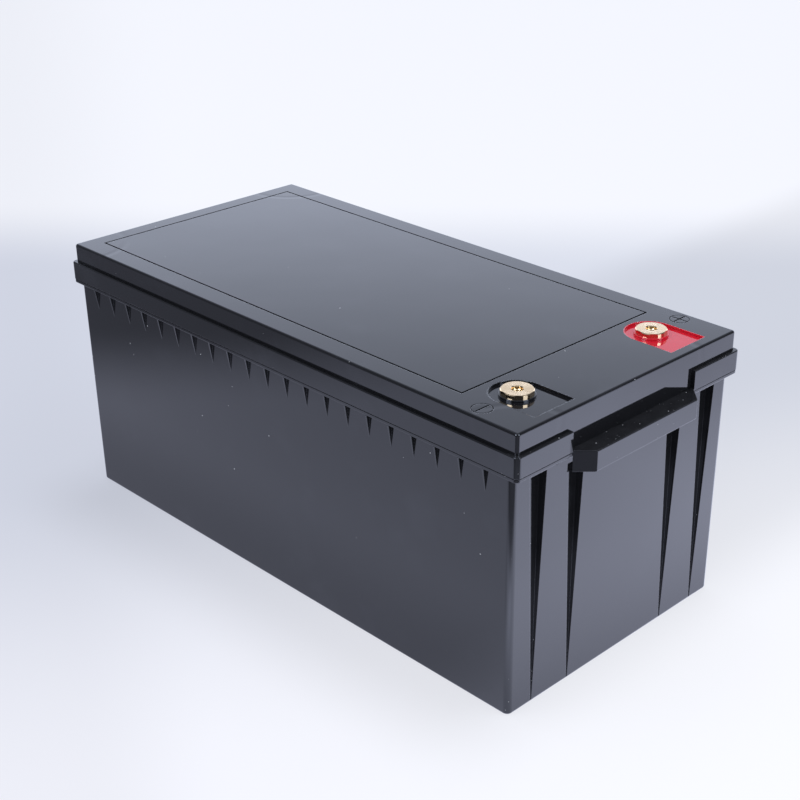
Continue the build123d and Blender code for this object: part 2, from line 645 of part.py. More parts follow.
with BuildPart() as bms_standoffs:
    with BuildSketch(Plane.YZ.offset(PLATE_X + MOUNT_PLATE)):
        with Locations(*corners):
            Circle(3.2)
            Circle(SCREW_RADIUS + 0.02, mode=Mode.SUBTRACT)
    extrude(amount=BOARD_X - PLATE_X - MOUNT_PLATE)

write(bms_standoffs.part, "bms_standoffs")

with BuildPart() as bms_board:
    with BuildSketch(Plane.YZ.offset(BOARD_X)):
        with Locations((0, BOARD_MID_Z)):
            RectangleRounded(BOARD_Y, BOARD_Z, 3)
        with Locations(*corners):
            Circle(SCREW_RADIUS + SLIP, mode=Mode.SUBTRACT)
    extrude(amount=BOARD_THICKNESS)

write(bms_board.part, "bms_board")

with BuildPart() as bms_screws:
    with BuildSketch(Plane.YZ.offset(board_face)):
        with Locations(*corners):
            Circle(3.0)
    extrude(amount=2.2)
    fillet(bms_screws.edges().group_by(Axis.X)[-1], 1.0)
    with BuildSketch(Plane.YZ.offset(board_face)):
        with Locations(*corners):
            Circle(SCREW_RADIUS)
    extrude(amount=-8.0)

write(bms_screws.part, "bms_screws")

with BuildPart() as bms_transistors:
    with BuildSketch(Plane.YZ.offset(board_face)):
        with Locations((0, BOARD_MID_Z - 8)):
            with GridLocations(15, 36, 6, 2):
                Rectangle(10, 14)
    extrude(amount=HEATSINK_GAP)

write(bms_transistors.part, "bms_transistors")

with BuildPart() as bms_heatsink:
    # base plate with upright fins
    with BuildSketch(Plane.YZ.offset(board_face + HEATSINK_GAP)):
        with Locations((0, BOARD_MID_Z - 8)):
            Rectangle(HEATSINK_Y, HEATSINK_Z)
    extrude(amount=3.0)
    with BuildSketch(Plane.YZ.offset(board_face + HEATSINK_GAP + 3.0)):
        with Locations((0, BOARD_MID_Z - 8)):
            with GridLocations(HEATSINK_Y / FIN_COUNT, 0, FIN_COUNT, 1):
                Rectangle(2.0, HEATSINK_Z)
    extrude(amount=11.0)

write(bms_heatsink.part, "bms_heatsink")

with BuildPart() as bms_cable_blocks:
    # copper blocks on the board that take the ends of the two heavy leads
    for side in (-1, 1):
        with BuildSketch(Plane.YZ.offset(board_face)):
            with Locations((side * BLOCK_Y, board_high - 9)):
                Rectangle(14, 18)
        extrude(amount=14)
    with BuildSketch(Plane.XY.offset(board_high)):
        with Locations((board_face + 7, BLOCK_Y), (board_face + 7, -BLOCK_Y)):
            Circle(LEAD_RADIUS + SLIP)
    extrude(amount=-15, mode=Mode.SUBTRACT)

write(bms_cable_blocks.part, "bms_cable_blocks")

with BuildPart() as balance_plug:
    with BuildSketch(Plane.YZ.offset(board_face)):
        with Locations((0, board_high - 6)):
            Rectangle(18, 9)
    extrude(amount=8)
    fillet(balance_plug.edges().filter_by(Axis.X), 0.8)

write(balance_plug.part, "balance_plug")


# ---------------------------------------------------------------- leads and wires
barrel_depth = SMALL_BARREL_START + 3
barrel_mouth = SMALL_BARREL_START + BARREL_LENGTH
lid_barrel_mouth = TERMINAL_X - BARREL_START - BARREL_LENGTH
lid_barrel_depth = lid_barrel_mouth + BARREL_LENGTH - 4
block_x = board_face + 7
block_depth, block_mouth = board_high - 12, board_high + 2

with BuildPart() as positive_lead:
    # along the edge of the cells, down into a slack loop and up to the lid's terminal
    first_x = cell_xs[0]
    with BuildLine() as positive_path:
        Line((first_x + barrel_depth, POST_Y, LEAD_TOP_Z), (first_x + barrel_mouth, POST_Y, LEAD_TOP_Z))
        Spline(
            (first_x + barrel_mouth, POST_Y, LEAD_TOP_Z),
            (first_x + 66, EDGE_Y, LEAD_TOP_Z),
            tangents=[(1, 0, 0), (1, 0, 0)],
        )
        Line((first_x + 66, EDGE_Y, LEAD_TOP_Z), (LOOP_START_X, EDGE_Y, LEAD_TOP_Z))
        Spline(
            (LOOP_START_X, EDGE_Y, LEAD_TOP_Z),
            (LOOP_START_X + 26, EDGE_Y - 1, LOOP_LOW_Z + 14),
            (LOOP_START_X + 52, EDGE_Y - 4, LOOP_LOW_Z),
            (LOOP_START_X + 78, EDGE_Y - 7, LOOP_LOW_Z + 16),
            (lid_barrel_mouth - 2, TERMINAL_Y, lug_z),
            tangents=[(1, 0, 0), (1, 0, 0)],
        )
        Line((lid_barrel_mouth - 2, TERMINAL_Y, lug_z), (lid_barrel_depth, TERMINAL_Y, lug_z))
    with BuildSketch(Plane((first_x + barrel_depth, POST_Y, LEAD_TOP_Z), z_dir=(1, 0, 0))):
        Circle(LEAD_RADIUS)
    sweep(path=positive_path.wire())

write(positive_lead.part, "positive_lead")

with BuildPart() as negative_lead:
    # up from the board in a slack loop to the lid's terminal
    with BuildLine() as negative_path:
        Line((block_x, -BLOCK_Y, block_depth), (block_x, -BLOCK_Y, block_mouth))
        Spline(
            (block_x, -BLOCK_Y, block_mouth),
            (block_x + 2, -BLOCK_Y - 2, board_high + 26),
            (block_x + 18, -BLOCK_Y - 10, board_high + 42),
            (block_x + 36, -TERMINAL_Y + 8, board_high + 34),
            (block_x + 54, -TERMINAL_Y + 2, board_high + 48),
            (lid_barrel_mouth - 2, -TERMINAL_Y, lug_z),
            tangents=[(0, 0, 1), (1, 0, 0)],
        )
        Line((lid_barrel_mouth - 2, -TERMINAL_Y, lug_z), (lid_barrel_depth, -TERMINAL_Y, lug_z))
    with BuildSketch(Plane((block_x, -BLOCK_Y, block_depth), z_dir=(0, 0, 1))):
        Circle(LEAD_RADIUS)
    sweep(path=negative_path.wire())

write(negative_lead.part, "negative_lead")

with BuildPart() as battery_negative_lead:
    # from the last cell's free post over the end plate and down to the board
    last_x = cell_xs[3]
    with BuildLine() as battery_path:
        Line((last_x + barrel_depth, POST_Y, LEAD_TOP_Z), (last_x + barrel_mouth, POST_Y, LEAD_TOP_Z))
        Spline(
            (last_x + barrel_mouth, POST_Y, LEAD_TOP_Z),
            (block_x - 4, BLOCK_Y + 4, LEAD_TOP_Z - 20),
            (block_x, BLOCK_Y, block_mouth),
            tangents=[(1, 0, 0), (0, 0, -1)],
        )
        Line((block_x, BLOCK_Y, block_mouth), (block_x, BLOCK_Y, block_depth))
    with BuildSketch(Plane((last_x + barrel_depth, POST_Y, LEAD_TOP_Z), z_dir=(1, 0, 0))):
        Circle(LEAD_RADIUS)
    sweep(path=battery_path.wire())

write(battery_negative_lead.part, "battery_negative_lead")

with BuildPart() as sense_wires:
    # five thin wires side by side from the plug, each turning off to its tag
    plug_top = board_high - 1.5
    tag_wire_z = BUSBAR_TOP + TAG_THICKNESS + WIRE_RADIUS
    lane_order = [tagged[3], tagged[1], tagged[0], tagged[2], tagged[4]]
    for lane, (x, y) in enumerate(lane_order):
        lane_y = (lane - 2) * LANE
        inward = -1 if y > 0 else 1
        with BuildLine() as wire_path:
            FilletPolyline(
                (board_face + 4, lane_y, plug_top),
                (board_face + 4, lane_y, WIRE_Z),
                (x, lane_y, WIRE_Z),
                (x, y + inward * 17, WIRE_Z),
                (x, y + inward * 13, tag_wire_z),
                (x, y + inward * 7.2, tag_wire_z),
                radius=1.2,
            )
        with BuildSketch(Plane((board_face + 4, lane_y, plug_top), z_dir=(0, 0, 1))):
            Circle(WIRE_RADIUS)
        sweep(path=wire_path.wire())

write(sense_wires.part, "sense_wires")

with BuildPart() as temperature_sensor:
    # a bead taped beside a vent, with its own wire to the board
    bead = (cell_xs[3] + 20, -26.0, CELL_TOP + 1.6)
    with BuildLine() as sensor_path:
        FilletPolyline(
            (board_face + 4, -14.0, board_high - 10),
            (board_face + 4, -14.0, WIRE_Z),
            (bead[0] + 12, -26.0, WIRE_Z),
            bead,
            radius=3.0,
        )
    with BuildSketch(Plane((board_face + 4, -14.0, board_high - 10), z_dir=(0, 0, 1))):
        Circle(WIRE_RADIUS)
    sweep(path=sensor_path.wire())
    with Locations(bead):
        Box(8, 5, 3)
    fillet(temperature_sensor.edges().filter_by(Axis.Z), 1.2)

write(temperature_sensor.part, "temperature_sensor")
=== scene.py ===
"""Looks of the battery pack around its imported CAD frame: materials, soft parts, studio and camera. Metres."""

import math
import random

import bmesh
import bpy
import numpy as np
from mathutils import Matrix, Vector


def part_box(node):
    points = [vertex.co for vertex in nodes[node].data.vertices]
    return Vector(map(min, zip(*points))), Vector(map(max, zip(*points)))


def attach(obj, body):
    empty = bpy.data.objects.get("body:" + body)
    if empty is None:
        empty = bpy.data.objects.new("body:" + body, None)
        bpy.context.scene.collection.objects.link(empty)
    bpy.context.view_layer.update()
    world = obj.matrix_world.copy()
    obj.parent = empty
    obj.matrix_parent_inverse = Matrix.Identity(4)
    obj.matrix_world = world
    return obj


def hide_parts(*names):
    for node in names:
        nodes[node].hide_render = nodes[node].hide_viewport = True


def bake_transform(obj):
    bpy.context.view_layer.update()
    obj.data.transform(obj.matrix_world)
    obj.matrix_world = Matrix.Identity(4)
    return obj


MM = 0.001

# camera: where it stands, its heading and lens, and how far the optical axis is off the middle of the frame
CAMERA_PLACE = (0.7867, -0.7300, 0.6347)
CAMERA_AZIMUTH, CAMERA_ELEVATION, CAMERA_ROLL = 44.564, 26.471, 0.137
CAMERA_LENS = 66.6
CAMERA_SHIFT = (-0.0551, 0.0260)

# soft parts
CABLE_RADIUS = 4.0 * MM
CABLE_STEP = 2.0 * MM
STRAND_COUNT = 12
STRIPPED_LENGTH = 5.0 * MM
ALONG_X, UPWARD, DOWNWARD = (1, 0, 0), (0, 0, 1), (0, 0, -1)
FOAM_CELL = 5.0 * MM
FOAM_SHRINK = 0.35 * MM
FOAM_DENT = 0.25 * MM
FOAM_ROUND = 1.2 * MM
SEAL_HALF_WIDTH, SEAL_CORNER = 0.62 * MM, 5.0 * MM
SEAL_SLACK, SEAL_SQUEEZE = 0.05 * MM, 0.04 * MM
WIRE_SWELL = 0.05 * MM

# heavy leads: the bare strands' size, lay and twist, and the level they hang from
STRAND_SHARE, STRAND_DEPTH, STRAND_TWIST = 0.84, 0.06, 90.0
LUG_RUN = 0.018
BARREL_DROP = 5.6 * MM
LOOP_REACH = 0.1195

# terminals' internal thread, M8 coarse; the ridge's half widths are shares of its pitch
THREAD_PITCH, THREAD_HEIGHT = 1.25 * MM, 0.42 * MM
MOUTH_DEPTH, THREAD_END = 2.1 * MM, 14.0 * MM
BORE_RADIUS, ROOT_SINK = 3.4 * MM, 0.03 * MM
ROOT_HALF_WIDTH, CREST_HALF_WIDTH = 0.48, 0.06
TURN_STEPS, RUN_OUT_STEPS = 36, 18

# plastics
SINK_RADIUS, SINK_WIDTH, SINK_DEPTH = 42 * MM, 5.0 * MM, 0.05 * MM
LEAST_DUST, WALL_DUST, LOW_DUST, LEDGE_DUST = 0.0015, 0.012, 0.035, 0.09
BIG_SPECK, SMALL_SPECK = (430.0, 0.50 * MM), (730.0, 0.32 * MM)
DUST_COLOUR, DUST_FILM = (0.50, 0.51, 0.54), (0.030, 0.031, 0.035)
HANDLE_REACH = 18.5 * MM
FILM_OVERLAP = (0.178, 0.183)

# studio paper: its painted light, paler or darker by how far and on which side it lies, and its glow in shiny
# things
FAR_LEFT, FAR_RIGHT = (0.68, 0.71, 0.81), (0.72, 0.75, 0.84)
NEAR_LEFT, NEAR_RIGHT = (0.92, 0.93, 1.0), (1.03, 1.04, 1.06)
BACKDROP_TONE = (0.925, 0.94, 1.0)
PAPER_GLOW = 0.78
MIRROR_TINT = (0.91, 0.95, 1.2)
TABLE_REACH, BEND_RADIUS, BACK_RISE, SHEET_HALF = 2.8, 0.9, 4.0, 9.0

# light tent and lamps
TENT_TINT = (0.86, 0.93, 1.13)
ROOM_TINT, ROOM_STRENGTH = (0.92, 0.94, 1.0), 0.98
SOFTBOX_BACK, SOFTBOX_SIDE, SOFTBOX_RISE = -0.52, 0.71, 0.50
SOFTBOX_EDGE, SOFTBOX_STRENGTH = (0.962, 0.975), 10.0
LAMP_SIZE, LAMP_POWER, LAMP_TINT = 0.9, 5.0, (0.95, 0.97, 1.0)
LAMP_BACK, LAMP_SIDE, LAMP_RISE = -0.5, 1.3, 1.7
LAMP_TARGET = Vector((0, 0, 0.1))

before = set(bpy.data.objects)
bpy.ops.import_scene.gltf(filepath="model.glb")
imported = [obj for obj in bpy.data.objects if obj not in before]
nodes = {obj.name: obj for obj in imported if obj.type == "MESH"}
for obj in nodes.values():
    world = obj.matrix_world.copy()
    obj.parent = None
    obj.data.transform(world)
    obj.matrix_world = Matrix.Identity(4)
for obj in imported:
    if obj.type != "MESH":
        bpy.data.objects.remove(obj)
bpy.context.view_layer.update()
LID_TOP_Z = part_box("lid_shell")[1].z
END_WALL_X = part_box("case_shell")[1].x - HANDLE_REACH


# ---------------------------------------------------------------- node graphs
class Graph:
    """The node tree of a material or world, built with one call per node. Its patterns follow self.place."""

    def __init__(self, owner, output_kind, space):
        owner.use_nodes = True
        self.owner = owner
        self.tree = owner.node_tree
        self.tree.nodes.clear()
        self.output = self.tree.nodes.new(output_kind)
        self.place = self.node("ShaderNodeTexCoord").outputs[space]

    def node(self, kind, settings=None, **inputs):
        """a new node; inputs are named by socket, or _0, _1 and so on by number"""
        made = self.tree.nodes.new(kind)
        for key, value in (settings or {}).items():
            setattr(made, key, value)
        for key, value in inputs.items():
            socket = made.inputs[int(key[1:])] if key[0] == "_" else made.inputs[key.replace("_", " ")]
            if isinstance(value, bpy.types.NodeSocket):
                self.tree.links.new(value, socket)
            else:
                socket.default_value = value
        return made

    def math(self, operation, a, b=0.0, clamp=False):
        settings = {"operation": operation, "use_clamp": clamp}
        return self.node("ShaderNodeMath", settings, _0=a, _1=b).outputs[0]

    def vector(self, operation, a, b=None):
        """vector arithmetic; a length or a dot product comes out as a number"""
        inputs = {"_0": a} if b is None else {"_0": a, "_1": b}
        made = self.node("ShaderNodeVectorMath", {"operation": operation}, **inputs)
        return made.outputs["Value" if operation in ("LENGTH", "DOT_PRODUCT") else "Vector"]

    def ramp(self, value, low, high, to_low=0.0, to_high=1.0):
        """value from low..high turned smoothly into to_low..to_high"""
        settings = {"interpolation_type": "SMOOTHSTEP"}
        return self.node("ShaderNodeMapRange", settings, Value=value, From_Min=low, From_Max=high,
                         To_Min=to_low, To_Max=to_high).outputs["Result"]

    def noise(self, scale, detail=3.0, place=None, rough=0.5):
        """cloudy values about 0.5, with scale clouds to a metre"""
        return self.node("ShaderNodeTexNoise", None, Vector=place or self.place, Scale=scale, Detail=detail,
                         Roughness=rough).outputs["Fac"]

    def mix(self, factor, a, b):
        """colour a where factor is 0, colour b where it is 1"""
        made = self.node("ShaderNodeMix", {"data_type": "RGBA"}, Factor=factor)
        for socket, value in ((made.inputs[6], a), (made.inputs[7], b)):
            if isinstance(value, bpy.types.NodeSocket):
                self.tree.links.new(value, socket)
            else:
                socket.default_value = (*value, 1.0)
        return made.outputs[2]

    def axis(self, name, vector=None):
        """one coordinate of the place, or of another vector"""
        return self.node("ShaderNodeSeparateXYZ", None, Vector=vector or self.place).outputs[name]

    def stretched(self, sx, sy, sz):
        """the place scaled along each axis"""
        return self.node("ShaderNodeMapping", None, Vector=self.place, Scale=(sx, sy, sz)).outputs[0]

    def bump(self, height, distance, normal=None):
        """a normal tilted by a height from 0 to 1 that stands for a distance"""
        made = self.node("ShaderNodeBump", None, Height=height, Distance=distance, Strength=1.0)
        if normal is not None:
            self.tree.links.new(normal, made.inputs["Normal"])
        return made.outputs[0]

    def specks(self, scale, radius, share):
        """1 inside small round specks: share of the cells of a Voronoi pattern hold one"""
        cell = self.node("ShaderNodeTexVoronoi", None, Vector=self.place, Scale=scale)
        chosen = self.math("LESS_THAN", self.axis("X", cell.outputs["Color"]), share)
        size = self.math("MULTIPLY", self.axis("Y", cell.outputs["Color"]), radius * scale)
        inside = self.math("LESS_THAN", cell.outputs["Distance"], size)
        return self.math("MULTIPLY", chosen, inside)

    def mix_shaders(self, factor, a, b):
        """shader a where factor is 0, shader b where it is 1"""
        return self.node("ShaderNodeMixShader", None, Fac=factor, _1=a.outputs[0], _2=b.outputs[0])

    def split(self, seen, mirrored):
        """one shader for the camera and another for what shiny things reflect"""
        return self.mix_shaders(self.node("ShaderNodeLightPath").outputs["Is Glossy Ray"], seen, mirrored)

    def close(self, shader):
        """sends a shader to the output; gives the material or world"""
        self.tree.links.new(shader.outputs[0], self.output.inputs["Surface"])
        return self.owner

    def surface(self, **inputs):
        """closes the graph with a principled shader; gives the material"""
        return self.close(self.node("ShaderNodeBsdfPrincipled", None, **inputs))


def material_graph(name):
    """A new material's graph, whose patterns follow the object's own metres"""
    return Graph(bpy.data.materials.new(name), "ShaderNodeOutputMaterial", "Object")


def colour(r, g, b):
    """An opaque colour, linear"""
    return (r, g, b, 1.0)


# ---------------------------------------------------------------- plastics
def dust_share(g, dusty_ends):
    """How many specks of dust lie at each place: most on the handles' ledges and low on the end walls"""
    end = g.ramp(g.math("ABSOLUTE", g.axis("X")), END_WALL_X - 6 * MM, END_WALL_X)
    low = g.ramp(g.axis("Z"), 0.16, 0.02)
    facing_up = g.ramp(g.axis("Z", g.node("ShaderNodeNewGeometry").outputs["Normal"]), 0.8, 0.95)
    ledge = g.math("MULTIPLY", g.math("MULTIPLY", end, facing_up), LEDGE_DUST)
    walls = g.math("MULTIPLY", end, g.math("ADD", g.math("MULTIPLY", low, LOW_DUST), WALL_DUST))
    both = g.math("MULTIPLY", g.math("ADD", ledge, walls), dusty_ends)
    return g.math("ADD", both, LEAST_DUST)


def gloss_plastic(name, base, smudge_tint, dusty_ends=0.0, sinks=()):
    """Glossy injection-moulded plastic: faint flow waves, fingerprints that dull the shine, specks of dust.
    sinks are the (x, y) middles of shallow ring-shaped sink marks left by bosses under the skin."""
    g = material_graph(name)
    smudge = g.ramp(g.noise(22.0, 5.0, rough=0.62), 0.52, 0.75)
    wipe = g.ramp(g.noise(9.0, 2.0, g.stretched(1.0, 3.0, 1.0)), 0.45, 0.75)
    share = dust_share(g, dusty_ends)
    specks = g.math("MAXIMUM", g.specks(*BIG_SPECK, share), g.specks(*SMALL_SPECK, share))
    tinted = g.mix(g.math("MULTIPLY", smudge, 0.6), base, smudge_tint)
    dusty = g.ramp(g.math("SUBTRACT", share, LEAST_DUST), 0.03, 0.09)
    film = g.math("MULTIPLY", dusty, g.noise(160.0, 5.0))
    shade = g.mix(specks, g.mix(film, tinted, DUST_FILM), DUST_COLOUR)
    dull = g.math("ADD", g.math("MULTIPLY", smudge, 0.12), g.math("MULTIPLY", wipe, 0.04))
    rough = g.math("ADD", g.math("ADD", dull, 0.045), g.math("MULTIPLY", specks, 0.7), clamp=True)
    round_edge = g.node("ShaderNodeBevel", {"samples": 4}, Radius=0.4 * MM).outputs[0]
    normal = g.bump(g.noise(17.0, 1.0), 0.10 * MM, normal=round_edge)
    for x, y in sinks:
        distance = g.vector("LENGTH", g.vector("SUBTRACT", g.place, (x, y, LID_TOP_Z)))
        dent = g.ramp(g.math("ABSOLUTE", g.math("SUBTRACT", distance, SINK_RADIUS)), 0.0, SINK_WIDTH)
        normal = g.bump(dent, SINK_DEPTH, normal=normal)
    grain = g.bump(g.noise(900.0, 2.0), 0.003 * MM, normal=normal)
    return g.surface(Base_Color=shade, Roughness=rough, IOR=1.53, Normal=grain,
                     Specular_Tint=colour(0.93, 0.96, 1.0))


def plain_plastic(name, base, rough, speckle=0.25):
    """Satin moulded plastic with a fine grain."""
    g = material_graph(name)
    grain = g.noise(500.0, 4.0)
    patch = g.noise(35.0, 3.0)
    darker = tuple(c * (1.0 - speckle) for c in base)
    shade = g.mix(g.ramp(patch, 0.35, 0.7), base, darker)
    return g.surface(Base_Color=shade, Roughness=g.ramp(grain, 0.3, 0.7, rough - 0.08, rough + 0.1),
                     Normal=g.bump(grain, 0.02 * MM))


def printed_film(name, base):
    """Blue PET film shrunk round a cell: gentle wrinkles, an overlap seam and a soft shine."""
    g = material_graph(name)
    wrinkle = g.noise(40.0, 4.0, g.stretched(1.0, 1.0, 0.25))
    crease = g.ramp(g.math("ABSOLUTE", g.math("SUBTRACT", wrinkle, 0.5)), 0.0, 0.03, 1.0, 0.0)
    rise = g.axis("Z")
    overlap = g.math("MULTIPLY", g.math("GREATER_THAN", rise, FILM_OVERLAP[0]),
                     g.math("LESS_THAN", rise, FILM_OVERLAP[1]))
    shade = g.mix(g.math("MULTIPLY", crease, 0.35), base, tuple(c * 1.7 for c in base))
    shade = g.mix(g.math("MULTIPLY", overlap, 0.5), shade, tuple(c * 0.45 for c in base))
    height = g.math("ADD", wrinkle, g.math("MULTIPLY", crease, 0.3))
    return g.surface(Base_Color=shade, Roughness=g.ramp(wrinkle, 0.3, 0.7, 0.22, 0.38), Coat_Weight=0.4,
                     Coat_Roughness=0.12, Normal=g.bump(height, 0.25 * MM))


# ---------------------------------------------------------------- metals
def turned_metal(name, base, stain, rough, centres, pitch=0.22 * MM, groove=0.006, bore_top=None):
    """Lathe-turned metal: fine rings about the nearest of the given upright axes, light tarnish in patches.
    Below bore_top the hole's wall grows darker with painted shade that gathers down the thread."""
    g = material_graph(name)
    radius = None
    for x, y in centres:
        offset = g.vector("SUBTRACT", g.place, (x, y, 0.0))
        length = g.vector("LENGTH", g.vector("MULTIPLY", offset, (1.0, 1.0, 0.0)))
        radius = length if radius is None else g.math("MINIMUM", radius, length)
    rings = g.math("SINE", g.math("MULTIPLY", radius, 2 * math.pi / pitch))
    patch = g.ramp(g.noise(120.0, 4.0), 0.48, 0.7)
    shade = g.mix(g.math("MULTIPLY", patch, 0.55), base, stain)
    # painted shade: the bore's wall darkens with depth towards a dark copy of the stain colour
    if bore_top:
        bore_shade_depth = g.ramp(g.axis("Z"), bore_top, bore_top - 4 * MM)
        inside = g.math("MULTIPLY", g.ramp(radius, 4.2 * MM, 4.1 * MM), bore_shade_depth)
        shade = g.mix(g.math("MULTIPLY", inside, 0.8), shade, tuple(c * 0.25 for c in stain))
    roughness = g.math("ADD", g.math("MULTIPLY", patch, 0.12), rough)
    return g.surface(Base_Color=shade, Metallic=1.0, Roughness=roughness, Normal=g.bump(rings, groove * MM))


def brushed_metal(name, base, stain, rough, direction=(1.0, 12.0, 12.0)):
    """Rolled or brushed metal: long fine scratches, cloudy tarnish."""
    g = material_graph(name)
    scratch = g.noise(900.0, 2.0, g.stretched(*[d / max(direction) for d in direction]))
    cloud = g.ramp(g.noise(60.0, 5.0), 0.42, 0.72)
    shade = g.mix(g.math("MULTIPLY", cloud, 0.6), base, stain)
    roughness = g.math("ADD", g.math("MULTIPLY", cloud, 0.14), g.math("MULTIPLY", scratch, rough))
    return g.surface(Base_Color=shade, Metallic=1.0, Roughness=roughness,
                     Normal=g.bump(scratch, 0.012 * MM))


# ---------------------------------------------------------------- soft and sheet materials
def closed_cell_foam(name, base):
    """Die-cut closed-cell foam: pores of two sizes with painted shade in their pits, matt, slightly uneven in
    colour.
    """
    g = material_graph(name)
    pores = g.node("ShaderNodeTexVoronoi", None, Vector=g.place, Scale=650.0).outputs["Distance"]
    big = g.node("ShaderNodeTexVoronoi", None, Vector=g.place, Scale=210.0).outputs["Distance"]
    pore_pit_and_shade = g.math("MULTIPLY", g.ramp(pores, 0.0, 0.5), g.ramp(big, 0.05, 0.45, 0.6, 1.0))
    lighter = tuple(c * 1.9 for c in base)
    # painted shade: each pore's pit is darkened to half the foam's colour
    shade = g.mix(pore_pit_and_shade, tuple(c * 0.5 for c in base), g.mix(g.noise(30.0), base, lighter))
    return g.surface(Base_Color=shade, Roughness=0.95, Sheen_Weight=0.15, Normal=g.bump(pore_pit_and_shade, 0.25 * MM))


def rubber(name, base, rough=0.6, gloss=0.0):
    """Extruded rubber or silicone: drawn lines along it, bloom in soft patches."""
    g = material_graph(name)
    drawn = g.noise(420.0, 3.0)
    bloom = g.ramp(g.noise(28.0, 4.0), 0.4, 0.75)
    shade = g.mix(g.math("MULTIPLY", bloom, 0.4), base, tuple(min(1.0, c * 1.5 + 0.02) for c in base))
    return g.surface(Base_Color=shade, Roughness=g.ramp(bloom, 0.0, 1.0, rough, rough + 0.18),
                     Coat_Weight=gloss, Normal=g.bump(drawn, 0.03 * MM))


def laminate(name, base):
    """Glass-fibre laminate: the weave shows through a yellow-green resin."""
    g = material_graph(name)
    warp = g.math("SINE", g.math("MULTIPLY", g.axis("Y"), 2 * math.pi / (1.6 * MM)))
    weft = g.math("SINE", g.math("MULTIPLY", g.axis("Z"), 2 * math.pi / (1.6 * MM)))
    weave = g.ramp(g.math("MULTIPLY", warp, weft), -0.6, 0.6)
    shade = g.mix(weave, tuple(c * 0.7 for c in base), base)
    return g.surface(Base_Color=shade, Roughness=0.35, Transmission_Weight=0.05,
                     Normal=g.bump(weave, 0.03 * MM))


def solder_mask(name, base):
    """Green circuit board: copper tracks under the mask and tinned pads."""
    g = material_graph(name)
    track_y = g.math("PINGPONG", g.axis("Y"), 1.3 * MM)
    track_z = g.math("PINGPONG", g.axis("Z"), 1.7 * MM)
    region = g.math("GREATER_THAN", g.noise(40.0, 1.0), 0.5)
    lines = g.math("MULTIPLY", g.math("LESS_THAN", track_y, 0.45 * MM), region)
    cross = g.math("MULTIPLY", g.math("LESS_THAN", track_z, 0.4 * MM), g.math("SUBTRACT", 1.0, region))
    copper = g.math("ADD", lines, cross, clamp=True)
    pads = g.specks(240.0, 1.6 * MM, 0.16)
    shade = g.mix(copper, base, tuple(c * 1.9 for c in base))
    shade = g.mix(pads, shade, (0.75, 0.75, 0.72))
    relief = g.math("ADD", g.math("MULTIPLY", copper, 0.5), pads)
    return g.surface(Base_Color=shade, Metallic=pads, Roughness=0.3, Normal=g.bump(relief, 0.04 * MM))


def twisted_copper(name, base):
    """Bare stranded conductor where a cable's sheath is stripped."""
    g = material_graph(name)
    grain = g.noise(1500.0, 2.0)
    shade = g.mix(g.ramp(grain, 0.4, 0.7), base, tuple(c * 0.55 for c in base))
    return g.surface(Base_Color=shade, Metallic=1.0, Roughness=0.32, Normal=g.bump(grain, 0.02 * MM))


# ---------------------------------------------------------------- dressing the CAD nodes
def islands(node):
    """(lowest, highest) corner of each separate solid in a CAD node, in a fixed order"""
    work = bmesh.new()
    work.from_mesh(nodes[node].data)
    bmesh.ops.remove_doubles(work, verts=work.verts, dist=1e-6)
    seen, found = set(), []
    for first in work.verts:
        if first in seen:
            continue
        stack, members = [first], []
        seen.add(first)
        while stack:
            vertex = stack.pop()
            members.append(vertex.co.copy())
            for edge in vertex.link_edges:
                other = edge.other_vert(vertex)
                if other not in seen:
                    seen.add(other)
                    stack.append(other)
        corners = np.array(members)
        found.append((Vector(corners.min(0)), Vector(corners.max(0))))
    work.free()
    return sorted(found, key=lambda box: (round(box[0].x, 4), round(box[0].y, 4), round(box[0].z, 4)))


def middle(box):
    """The middle of a (lowest corner, highest corner) pair"""
    return (box[0] + box[1]) / 2


def axes_of(node):
    """Where the upright axis of each solid in a node meets the floor"""
    return [middle(box).to_2d() for box in islands(node)]


def dress(material, *names):
    """Puts a material on CAD nodes"""
    for name in names:
        mesh = nodes[name].data
        mesh.materials.clear()
        mesh.materials.append(material)


